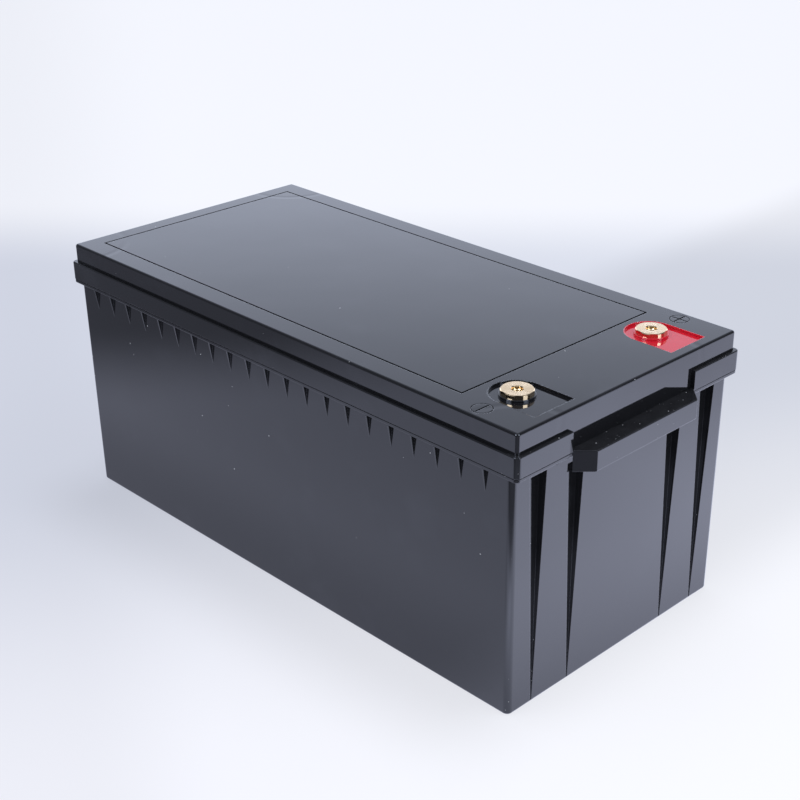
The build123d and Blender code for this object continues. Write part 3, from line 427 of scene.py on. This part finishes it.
def dress_all():
    """One material for each kind of CAD piece"""
    black, blue_black = (0.0085, 0.0088, 0.0105), (0.016, 0.017, 0.021)
    lid_low, lid_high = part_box("lid_shell")
    sinks = [(x, y) for x in (lid_low.x, lid_high.x) for y in (lid_low.y, lid_high.y)]
    dress(gloss_plastic("case_abs", black, blue_black, dusty_ends=1.0), "case_shell")
    dress(gloss_plastic("lid_abs", black, blue_black, sinks=sinks), "lid_shell")
    dress(gloss_plastic("black_liner", black, blue_black), "negative_terminal_liner")
    dress(gloss_plastic("red_abs", (0.60, 0.012, 0.028), (0.64, 0.05, 0.07)), "positive_terminal_liner")
    gold, bronze = (0.74, 0.57, 0.35), (0.60, 0.42, 0.22)
    posts = axes_of("positive_terminal") + axes_of("negative_terminal")
    # where the painted shade in each terminal's bore begins
    bore_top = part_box("positive_terminal")[1].z - 0.8 * MM
    dress(turned_metal("brass", gold, bronze, 0.12, posts, bore_top=bore_top),
          "positive_terminal", "negative_terminal")
    zinc, dull_zinc = (0.72, 0.73, 0.76), (0.42, 0.43, 0.47)
    dress(turned_metal("steel", zinc, dull_zinc, 0.24, axes_of("terminal_nuts"), groove=0.01),
          "terminal_nuts", "terminal_washers")
    dress(turned_metal("steel_small", zinc, dull_zinc, 0.26, axes_of("busbar_nuts"), 0.5 * MM), "busbar_nuts")
    dress(brushed_metal("steel_strap", zinc, dull_zinc, 0.34, (1.0, 1.0, 30.0)),
          "compression_straps", "bms_screws")
    dress(brushed_metal("tinned_copper", (0.82, 0.80, 0.77), (0.55, 0.52, 0.48), 0.3),
          "lid_cable_lugs", "battery_cable_lugs", "sense_tags")
    dress(brushed_metal("busbar_copper", (0.93, 0.52, 0.34), (0.55, 0.26, 0.16), 0.34),
          "busbar_1_2", "busbar_2_3", "busbar_3_4", "bms_cable_blocks")
    cells = [name for name in nodes if name.startswith("cell_") and name[-1].isdigit()]
    dress(printed_film("cell_film", (0.012, 0.10, 0.34)), *cells)
    dress(brushed_metal("cell_aluminium", (0.86, 0.86, 0.87), (0.62, 0.62, 0.65), 0.36),
          "cell_posts", "cell_vents", "end_plates")
    dress(brushed_metal("heatsink_aluminium", (0.20, 0.20, 0.22), (0.11, 0.11, 0.12), 0.5), "bms_heatsink")
    dress(laminate("glass_fibre_sheet", (0.50, 0.58, 0.26)), "bms_mounting_plate", "cell_separators")
    dress(solder_mask("circuit_board", (0.010, 0.12, 0.045)), "bms_board")
    dress(plain_plastic("chip_plastic", (0.018, 0.018, 0.02), 0.5), "bms_transistors")
    dress(plain_plastic("nylon", (0.82, 0.80, 0.72), 0.4, 0.08), "bms_standoffs", "balance_plug")


# ---------------------------------------------------------------- building soft parts
def new_piece(name, work, material, body, smooth=True):
    """A named piece from a finished bmesh, riding on a body unless body is None"""
    mesh = bpy.data.meshes.new(name)
    work.to_mesh(mesh)
    work.free()
    piece = bpy.data.objects.new(name, mesh)
    bpy.context.scene.collection.objects.link(piece)
    mesh.materials.append(material)
    for polygon in mesh.polygons:
        polygon.use_smooth = smooth
    if body:
        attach(piece, body)
    return piece


def smooth_path(points, start_way, end_way, step):
    """Points about a step apart on a curve through all the given points, leaving and arriving as told"""
    points = [np.array(p, float) for p in points]
    ways = [np.array(start_way, float)]
    for before, after in zip(points, points[2:]):
        ways.append((after - before) / np.linalg.norm(after - before))
    ways.append(np.array(end_way, float))
    path = []
    for a, b, way_a, way_b in zip(points, points[1:], ways, ways[1:]):
        reach = np.linalg.norm(b - a)
        count = max(2, int(reach / step))
        for i in range(count):
            t = i / count
            blend_a = 2 * t**3 - 3 * t**2 + 1
            blend_b = 3 * t**2 - 2 * t**3
            pull_a = (t**3 - 2 * t**2 + t) * reach
            pull_b = (t**3 - t**2) * reach
            path.append(blend_a * a + blend_b * b + pull_a * way_a + pull_b * way_b)
    path.append(points[-1])
    return path


def join_rings(work, rings):
    """Faces between rings of vertices, one ring after the other, with both ends closed"""
    sides = len(rings[0])
    for a, b in zip(rings, rings[1:]):
        for k in range(sides):
            n = (k + 1) % sides
            work.faces.new((a[k], a[n], b[n], b[k]))
    work.faces.new(rings[0][::-1])
    work.faces.new(rings[-1])


def sweep_ring(work, path, radius_at, sides, flute=0.0, flutes=0, twist=0.0):
    """Sweeps a round section along a path, closed at both ends. It may be fluted and twisted like strands."""
    side = None
    rings = []
    travelled = 0.0
    for i, point in enumerate(path):
        ahead = path[min(i + 1, len(path) - 1)] - path[max(i - 1, 0)]
        ahead = ahead / np.linalg.norm(ahead)
        if side is None:
            helper = np.array((0.0, 0.0, 1.0)) if abs(ahead[2]) < 0.9 else np.array((1.0, 0.0, 0.0))
            side = np.cross(helper, ahead)
        side = side - ahead * (side @ ahead)
        side = side / np.linalg.norm(side)
        up = np.cross(ahead, side)
        if i:
            travelled += np.linalg.norm(point - path[i - 1])
        radius = radius_at(i / (len(path) - 1))
        ring = []
        for k in range(sides):
            angle = 2 * math.pi * k / sides
            r = radius * (1.0 + flute * math.cos(flutes * angle)) if flutes else radius
            angle += twist * travelled
            ring.append(work.verts.new(point + r * (math.cos(angle) * side + math.sin(angle) * up)))
        rings.append(ring)
    join_rings(work, rings)


def cable(name, node, points, start_way, end_way, sheath, conductor):
    """A sheathed cable whose stripped ends show twisted strands. The cable stands for its CAD node."""
    path = smooth_path(points, start_way, end_way, CABLE_STEP)
    bare = max(2, int(STRIPPED_LENGTH / CABLE_STEP))
    work = bmesh.new()
    covered = path[bare:-bare]

    def sheath_radius(share):
        """slightly pinched at the very ends, where the sheath was cut"""
        end = min(share, 1.0 - share) * len(covered)
        return CABLE_RADIUS * (0.93 if end < 0.5 else 1.0 - 0.03 * math.exp(-end))

    sweep_ring(work, covered, sheath_radius, 32)
    sheath_faces = len(work.faces)
    for stretch in (path[: bare + 2], path[-bare - 2 :]):
        fine = []
        for a, b in zip(stretch, stretch[1:]):
            fine += [a, a * 0.75 + b * 0.25, (a + b) / 2, a * 0.25 + b * 0.75]
        fine.append(stretch[-1])
        sweep_ring(work, fine, lambda share: CABLE_RADIUS * STRAND_SHARE, 8 * STRAND_COUNT,
                   STRAND_DEPTH, STRAND_COUNT, STRAND_TWIST)
    work.faces.ensure_lookup_table()
    for face in work.faces[sheath_faces:]:
        face.material_index = 1
    piece = new_piece(name, work, sheath, None)
    piece.data.materials.append(conductor)
    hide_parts(node)
    return piece


def foam_block(name, node, material, body, seed):
    """Cut foam: its corners round over, its edges pull in and its faces are slightly uneven."""
    low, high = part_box(node)
    size = high - low
    work = bmesh.new()
    counts = [max(2, int(s / FOAM_CELL)) for s in size]
    thin = min(range(3), key=lambda i: size[i])
    counts[thin] = 2
    bmesh.ops.create_cube(work, size=1.0)
    for vertex in work.verts:
        vertex.co = [low[i] + size[i] * (vertex.co[i] + 0.5) for i in range(3)]
    for i in range(3):
        for k in range(1, counts[i]):
            place, normal = Vector((0, 0, 0)), Vector((0, 0, 0))
            place[i] = low[i] + size[i] * k / counts[i]
            normal[i] = 1.0
            everything = work.verts[:] + work.edges[:] + work.faces[:]
            bmesh.ops.bisect_plane(work, geom=everything, plane_co=place, plane_no=normal)
    rng = random.Random(seed)
    phases = [rng.uniform(0, 2 * math.pi) for _ in range(9)]
    work.normal_update()
    moves = {}
    for vertex in work.verts:
        share = [(vertex.co[i] - low[i]) / size[i] * 2 - 1 for i in range(3)]
        wave = sum(
            math.sin(vertex.co.x * (37 + 11 * k) + phases[k])
            * math.sin(vertex.co.y * (41 + 9 * k) + phases[k + 3])
            * math.sin(vertex.co.z * (43 + 7 * k) + phases[k + 6])
            for k in range(3)
        )
        inward = FOAM_SHRINK + FOAM_DENT * (wave / 3 + 0.5)
        on_faces = sum(1 for s in share if abs(abs(s) - 1) < 1e-5)
        moves[vertex] = -vertex.normal * inward * (1.0 + 0.9 * (on_faces - 1))
    for vertex, move in moves.items():
        vertex.co += move
    piece = new_piece(name, work, material, body)
    soft_edges = piece.modifiers.new("soft_edges", "BEVEL")
    soft_edges.width = min(0.3 * min(size), FOAM_ROUND)
    soft_edges.segments = 3
    soft_edges.limit_method = "ANGLE"
    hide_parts(node)
    return piece


def cord_ring(work, outline, sides=16):
    """Adds an endless cord along a closed outline of (place, (half width, half height)) pairs"""
    rings = []
    count = len(outline)
    for i, (point, radius) in enumerate(outline):
        ahead = (outline[(i + 1) % count][0] - outline[i - 1][0]).normalized()
        side = ahead.cross(Vector((0, 0, 1))).normalized()
        ring = []
        for k in range(sides):
            angle = 2 * math.pi * k / sides
            offset = side * math.cos(angle) * radius[0] + Vector((0, 0, 1)) * math.sin(angle) * radius[1]
            ring.append(work.verts.new(point + offset))
        rings.append(ring)
    for i in range(count):
        a, b = rings[i], rings[(i + 1) % count]
        for k in range(sides):
            n = (k + 1) % sides
            work.faces.new((a[k], b[k], b[n], a[n]))


def rounded_outline(low, high, corner, z, radius, steps=10):
    """Points round a rectangle with rounded corners, each with the cord's radii there"""

    def on_arc(cx, cy, degrees):
        angle = math.radians(degrees)
        return Vector((cx + corner * math.cos(angle), cy + corner * math.sin(angle), z))

    points = []
    corners = ((high.x - corner, high.y - corner, 0), (low.x + corner, high.y - corner, 90),
               (low.x + corner, low.y + corner, 180), (high.x - corner, low.y + corner, 270))
    for (cx, cy, turn), (nx, ny, next_turn) in zip(corners, corners[1:] + corners[:1]):
        for i in range(steps + 1):
            points.append(on_arc(cx, cy, turn + 90 * i / steps))
        start = points[-1]
        end = on_arc(nx, ny, next_turn)
        pieces = max(2, int((end - start).length / 0.01))
        points += [start.lerp(end, i / pieces) for i in range(1, pieces)]
    return [(point, radius) for point in points]


# ---------------------------------------------------------------- the soft parts
def make_foams():
    """The cut foam sheets that pad the cells in the case"""
    foam = closed_cell_foam("foam", (0.055, 0.056, 0.06))
    sheets = ("bottom_pad", "side_foam_left", "side_foam_right", "rear_foam", "front_foam")
    for seed, node in enumerate(sheets, 1):
        foam_block(node + "_cut", node, foam, "case", seed)


def make_lid_seal(black_rubber):
    """A round cord under the lid's edge"""
    low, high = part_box("lid_seal")
    half_height = (high.z - low.z) / 2 - SEAL_SQUEEZE
    inset = Vector((SEAL_HALF_WIDTH + SEAL_SLACK, SEAL_HALF_WIDTH + SEAL_SLACK, 0))
    outline = rounded_outline(low + inset, high - inset, SEAL_CORNER, (low.z + high.z) / 2,
                              (SEAL_HALF_WIDTH, half_height))
    work = bmesh.new()
    cord_ring(work, outline)
    seal = new_piece("lid_seal_cord", work, black_rubber, "lid")
    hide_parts("lid_seal")


def make_terminal_rings(black_rubber, steps=72):
    """Both O-rings, slightly flattened in their grooves"""
    work = bmesh.new()
    for low, high in islands("terminal_orings"):
        cord = (high.z - low.z) / 2
        ring_radius = (high.x - low.x) / 2 - cord
        centre = (low + high) / 2
        outline = []
        for i in range(steps):
            angle = 2 * math.pi * i / steps
            place = centre + ring_radius * Vector((math.cos(angle), math.sin(angle), 0))
            outline.append((place, (cord * 0.98, cord * 0.96)))
        cord_ring(work, outline)
    rings = new_piece("terminal_oring_cords", work, black_rubber, "lid")
    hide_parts("terminal_orings")


def make_positive_lead(sheath, conductor):
    """From the cells' positive lug along the side, down into a slack loop and up to the lid's lug"""
    r = CABLE_RADIUS
    low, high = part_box("positive_lead")
    post_y, edge_y = low.y + r, high.y - r
    run_z, loop_z = high.z - r, low.z + r
    lug = islands("lid_cable_lugs")[-1]
    lug_y, barrel_z = middle(lug).y, lug[1].z - BARREL_DROP
    loop_x = high.x - LOOP_REACH
    points = [(low.x, post_y, run_z), (low.x + 0.017, post_y, run_z), (low.x + 0.053, edge_y, run_z),
              (loop_x - 0.06, edge_y, run_z), (loop_x, edge_y, run_z),
              (loop_x + 0.026, edge_y - 0.001, loop_z + 0.014), (loop_x + 0.052, edge_y - 0.004, loop_z),
              (loop_x + 0.078, edge_y - 0.007, loop_z + 0.016),
              (high.x - LUG_RUN, lug_y, barrel_z), (high.x, lug_y, barrel_z)]
    lead = cable("positive_lead_cable", "positive_lead", points, ALONG_X, ALONG_X, sheath, conductor)
    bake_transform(lead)


def make_negative_lead(sheath, conductor):
    """Up from a block on the board, over in a slack bend and across to the lid's lug"""
    r = CABLE_RADIUS
    low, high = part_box("negative_lead")
    x0, y0 = low.x + r, high.y - r
    end_y, end_z = low.y + r, high.z - r
    points = [(x0, y0, low.z), (x0, y0, low.z + 0.014), (x0 + 0.002, y0 - 0.002, low.z + 0.038),
              (x0 + 0.018, y0 - 0.010, low.z + 0.054), (x0 + 0.036, end_y + 0.008, low.z + 0.046),
              (x0 + 0.054, end_y + 0.002, low.z + 0.060),
              (high.x - LUG_RUN, end_y, end_z), (high.x, end_y, end_z)]
    lead = cable("negative_lead_cable", "negative_lead", points, UPWARD, ALONG_X, sheath, conductor)
    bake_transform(lead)


def make_battery_lead(sheath, conductor):
    """From the cells' negative lug down to the other block on the board"""
    r = CABLE_RADIUS
    low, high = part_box("battery_negative_lead")
    x1, y1 = high.x - r, low.y + r
    points = [(low.x, high.y - r, high.z - r), (low.x + 0.017, high.y - r, high.z - r),
              (x1 - 0.004, y1 + 0.004, high.z - r - 0.020), (x1, y1, low.z + 0.014), (x1, y1, low.z)]
    lead = cable("battery_negative_cable", "battery_negative_lead", points, ALONG_X, DOWNWARD, sheath,
                 conductor)
    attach(lead, "case")


def make_cables():
    """The three heavy leads"""
    red = rubber("red_cable", (0.42, 0.012, 0.014), 0.34, 0.3)
    black = rubber("black_cable", (0.02, 0.02, 0.021), 0.36, 0.3)
    copper = twisted_copper("conductor", (0.93, 0.50, 0.32))
    make_positive_lead(red, copper)
    make_negative_lead(black, copper)
    make_battery_lead(black, copper)


def tube_copy(name, node, material, body):
    """Thin wires: the CAD node's surface, made gently uneven like real wire"""
    work = bmesh.new()
    work.from_mesh(nodes[node].data)
    bmesh.ops.remove_doubles(work, verts=work.verts, dist=1e-6)
    work.normal_update()
    for vertex in work.verts:
        x, y, z = vertex.co
        swell = math.sin(x * 310) * math.sin(y * 270 + 1) * math.sin(z * 290 + 2)
        vertex.co += vertex.normal * swell * WIRE_SWELL
    piece = new_piece(name, work, material, body)
    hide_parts(node)


def make_wires():
    """The thin sense wires and the temperature sensor on its wire"""
    sheath = rubber("thin_wire", (0.62, 0.61, 0.56), 0.42, 0.2)
    tube_copy("sense_wire_run", "sense_wires", sheath, "case")
    tube_copy("temperature_sensor_bead", "temperature_sensor", sheath, "case")


def thread_ridge(work, centre, top):
    """Adds a helical ridge that winds down a bore's wall from top and fades out at both ends"""
    turns = (THREAD_END - MOUTH_DEPTH) / THREAD_PITCH
    steps = int(turns * TURN_STEPS)
    root = BORE_RADIUS + ROOT_SINK
    rings = []
    for i in range(steps + 1):
        angle = 2 * math.pi * turns * i / steps
        z = top - THREAD_PITCH * turns * i / steps
        fade = min(1.0, i / RUN_OUT_STEPS, (steps - i) / RUN_OUT_STEPS)
        crest = BORE_RADIUS - THREAD_HEIGHT * max(fade, 0.02)
        section = ((root, ROOT_HALF_WIDTH), (crest, CREST_HALF_WIDTH),
                   (crest, -CREST_HALF_WIDTH), (root, -ROOT_HALF_WIDTH))
        ring = []
        for radius, rise in section:
            flat = centre + Vector((math.cos(angle), math.sin(angle))) * radius
            ring.append(work.verts.new((flat.x, flat.y, z + rise * THREAD_PITCH)))
        rings.append(ring)
    join_rings(work, rings)


def make_threads(brass):
    """The internal thread that shows in each terminal's mouth"""
    work = bmesh.new()
    for node in ("positive_terminal", "negative_terminal"):
        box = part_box(node)
        thread_ridge(work, middle(box).to_2d(), box[1].z - MOUTH_DEPTH)
    bmesh.ops.recalc_face_normals(work, faces=work.faces)
    new_piece("terminal_threads", work, brass, "lid", smooth=False)


# ---------------------------------------------------------------- studio
AWAY = Vector((-math.sin(math.radians(CAMERA_AZIMUTH)), math.cos(math.radians(CAMERA_AZIMUTH)), 0))
ACROSS = Vector((AWAY.y, -AWAY.x, 0))
CAMERA_GROUND = Vector((CAMERA_PLACE[0], CAMERA_PLACE[1], 0))


def along(g, direction):
    """How far the graph's place reaches along a direction"""
    return g.vector("DOT_PRODUCT", g.place, tuple(direction))


def painted_paper_light(g, reach, side):
    """What the camera sees, painted light and shade: paler near the camera and on the backdrop, darker towards
    the far left, and a painted shadow by the case's long side
    """
    # painted light: the paper is paler towards the camera and on the right, darker far off
    near = g.ramp(g.math("SUBTRACT", reach, g.math("MULTIPLY", side, 0.35)), 0.22, -0.28)
    right = g.ramp(side, -0.3, 0.35)
    painted_tone = g.mix(right, FAR_LEFT, FAR_RIGHT)
    painted_tone = g.mix(near, painted_tone, NEAR_LEFT)
    painted_tone = g.mix(g.math("MULTIPLY", g.math("MULTIPLY", right, near), 0.5), painted_tone, NEAR_RIGHT)
    painted_tone = g.mix(g.ramp(reach, 0.60, 0.88), painted_tone, BACKDROP_TONE)
    ahead = g.math("MAXIMUM", g.math("SUBTRACT", reach, CAMERA_GROUND.dot(AWAY)), 0.3)
    bearing = g.math("DIVIDE", g.math("SUBTRACT", side, CAMERA_GROUND.dot(ACROSS)), ahead)
    # painted shade: the paper darkens towards the far left
    left_falloff_shade = g.ramp(bearing, -0.18, -0.31, 1.0, 0.93)
    # painted shadow: the paper darkens beside the case's long side that faces the camera
    long_side_shadow = g.math("MULTIPLY", g.ramp(g.axis("X"), -0.30, -0.20), g.ramp(g.axis("X"), 0.30, 0.20))
    long_side_shadow = g.math("MULTIPLY", long_side_shadow, g.ramp(g.axis("Y"), -0.22, -0.13, 0.0, 0.12))
    shade = g.math("MULTIPLY", left_falloff_shade, g.math("SUBTRACT", 1.0, long_side_shadow))
    return g.node("ShaderNodeVectorMath", {"operation": "SCALE"}, _0=painted_tone, Scale=shade).outputs[0]


def paper_mirror(g, reach):
    """How brightly each place glows in shiny things: most beyond the terminal end, least far in front"""
    beyond_end = g.math("ADD", g.axis("X"), g.math("MULTIPLY", g.axis("Y"), 0.12))
    right_glow = g.ramp(beyond_end, 0.13, 0.36, 0.0, 2.0)
    right_fade = g.ramp(g.axis("Y"), 0.22, 0.50, 1.0, 0.6)
    front_glow = g.ramp(g.axis("X"), -0.25, 0.25, 0.9, 1.06)
    left_dark = g.ramp(g.math("ADD", g.axis("X"), g.axis("Y")), -0.55, -0.85, 1.0, 0.3)
    front_dark = g.ramp(reach, -0.36, -0.50, 1.0, 0.12)
    foot_shade = g.ramp(g.axis("Y"), -0.12, -0.22, 0.72, 1.0)
    strength = g.math("ADD", g.math("MULTIPLY", right_glow, right_fade), front_glow)
    for shade in (left_dark, front_dark, foot_shade):
        strength = g.math("MULTIPLY", strength, shade)
    return strength


def paper_material(name):
    """Pale paper, mostly glowing. The camera sees its painted light and shade over soft real shadows; shiny
    things see how brightly it glows.
    """
    g = material_graph(name)
    reach = along(g, AWAY)
    painted_tone = painted_paper_light(g, reach, along(g, ACROSS))
    paper = g.node("ShaderNodeBsdfDiffuse", None, Color=painted_tone)
    glow = g.node("ShaderNodeEmission", None, Color=painted_tone, Strength=1.0)
    mirror = g.node("ShaderNodeEmission", None, Color=colour(*MIRROR_TINT), Strength=paper_mirror(g, reach))
    return g.close(g.split(g.mix_shaders(PAPER_GLOW, paper, glow), mirror))


def sheet(name, profile, material):
    """A sheet swept across the view, from (reach, rise) pairs along the camera's heading"""
    work = bmesh.new()
    rows = []
    for reach, rise in profile:
        centre = AWAY * reach + Vector((0, 0, rise))
        rows.append([work.verts.new(centre + ACROSS * half) for half in (SHEET_HALF, -SHEET_HALF)])
    for a, b in zip(rows, rows[1:]):
        work.faces.new((a[0], a[1], b[1], b[0]))
    mesh = bpy.data.meshes.new(name)
    work.to_mesh(mesh)
    work.free()
    made = bpy.data.objects.new(name, mesh)
    bpy.context.scene.collection.objects.link(made)
    mesh.materials.append(material)
    for polygon in mesh.polygons:
        polygon.use_smooth = True
    return made


def make_stage():
    """A table top, and a back sheet that rises behind it and that shiny things don't see"""
    paper = paper_material("studio_paper")
    sheet("studio_table", [(-SHEET_HALF, 0.0), (TABLE_REACH, 0.0)], paper)
    arc = [math.radians(90 * i / 12) for i in range(13)]
    curve = [(TABLE_REACH + BEND_RADIUS * math.sin(a), BEND_RADIUS * (1 - math.cos(a))) for a in arc]
    back = sheet("studio_back", curve + [(TABLE_REACH + BEND_RADIUS, BACK_RISE)], paper)
    back.visible_glossy = False


def make_world():
    """A light tent seen by shiny things: a bright sheet behind and a softbox on each side of the camera"""
    world = bpy.data.worlds.new("tent")
    bpy.context.scene.world = world
    g = Graph(world, "ShaderNodeOutputWorld", "Generated")
    rise = g.axis("Z")
    behind = g.ramp(along(g, AWAY), 0.25, 0.75)
    back_glow = g.math("MULTIPLY", behind, g.ramp(rise, 0.16, 0.56, 1.95, 0.45))
    overhead = g.ramp(rise, 0.70, 0.95, 0.0, 0.55)
    light = g.math("ADD", g.math("ADD", back_glow, overhead), 0.16)
    for turn in (-1, 1):
        softbox = AWAY * SOFTBOX_BACK + ACROSS * SOFTBOX_SIDE * turn + Vector((0, 0, SOFTBOX_RISE))
        nearness = along(g, softbox.normalized())
        light = g.math("ADD", light, g.ramp(nearness, *SOFTBOX_EDGE, 0.0, SOFTBOX_STRENGTH))
    tent = g.node("ShaderNodeBackground", None, Color=colour(*TENT_TINT), Strength=light)
    room = g.node("ShaderNodeBackground", None, Color=colour(*ROOM_TINT), Strength=ROOM_STRENGTH)
    g.close(g.split(room, tent))


def make_lights():
    """A weak square lamp high on each side of the camera, which leaves no reflection of its own"""
    for name, turn in (("softbox_left", -1), ("softbox_right", 1)):
        data = bpy.data.lights.new(name, "AREA")
        data.shape = "RECTANGLE"
        data.size = data.size_y = LAMP_SIZE
        data.energy = LAMP_POWER
        data.color = LAMP_TINT
        lamp = bpy.data.objects.new(name, data)
        bpy.context.scene.collection.objects.link(lamp)
        lamp.location = AWAY * LAMP_BACK + ACROSS * LAMP_SIDE * turn + Vector((0, 0, LAMP_RISE))
        lamp.rotation_mode = "QUATERNION"
        lamp.rotation_quaternion = (LAMP_TARGET - lamp.location).to_track_quat("-Z", "Y")
        lamp.visible_glossy = False


def make_camera():
    """The camera at its place, turned to its heading and rolled a little"""
    azimuth, elevation = math.radians(CAMERA_AZIMUTH), math.radians(CAMERA_ELEVATION)
    back = Vector((math.sin(azimuth) * math.cos(elevation), -math.cos(azimuth) * math.cos(elevation),
                   math.sin(elevation)))
    right = Vector((math.cos(azimuth), math.sin(azimuth), 0))
    up = back.cross(right)
    turn = math.radians(CAMERA_ROLL)
    rolled_right = right * math.cos(turn) + up * math.sin(turn)
    rolled_up = up * math.cos(turn) - right * math.sin(turn)
    data = bpy.data.cameras.new("camera")
    data.lens = CAMERA_LENS
    data.shift_x, data.shift_y = CAMERA_SHIFT
    camera = bpy.data.objects.new("camera", data)
    bpy.context.scene.collection.objects.link(camera)
    axes = Matrix((rolled_right, rolled_up, back)).transposed()
    camera.matrix_world = Matrix.Translation(CAMERA_PLACE) @ axes.to_4x4()
    bpy.context.scene.camera = camera


bpy.context.scene.view_settings.view_transform = "Standard"
dress_all()
make_threads(bpy.data.materials["brass"])
make_foams()
seal_rubber = rubber("seal_rubber", (0.018, 0.018, 0.019))
make_lid_seal(seal_rubber)
make_terminal_rings(seal_rubber)
make_cables()
make_wires()
make_stage()
make_world()
make_lights()
make_camera()
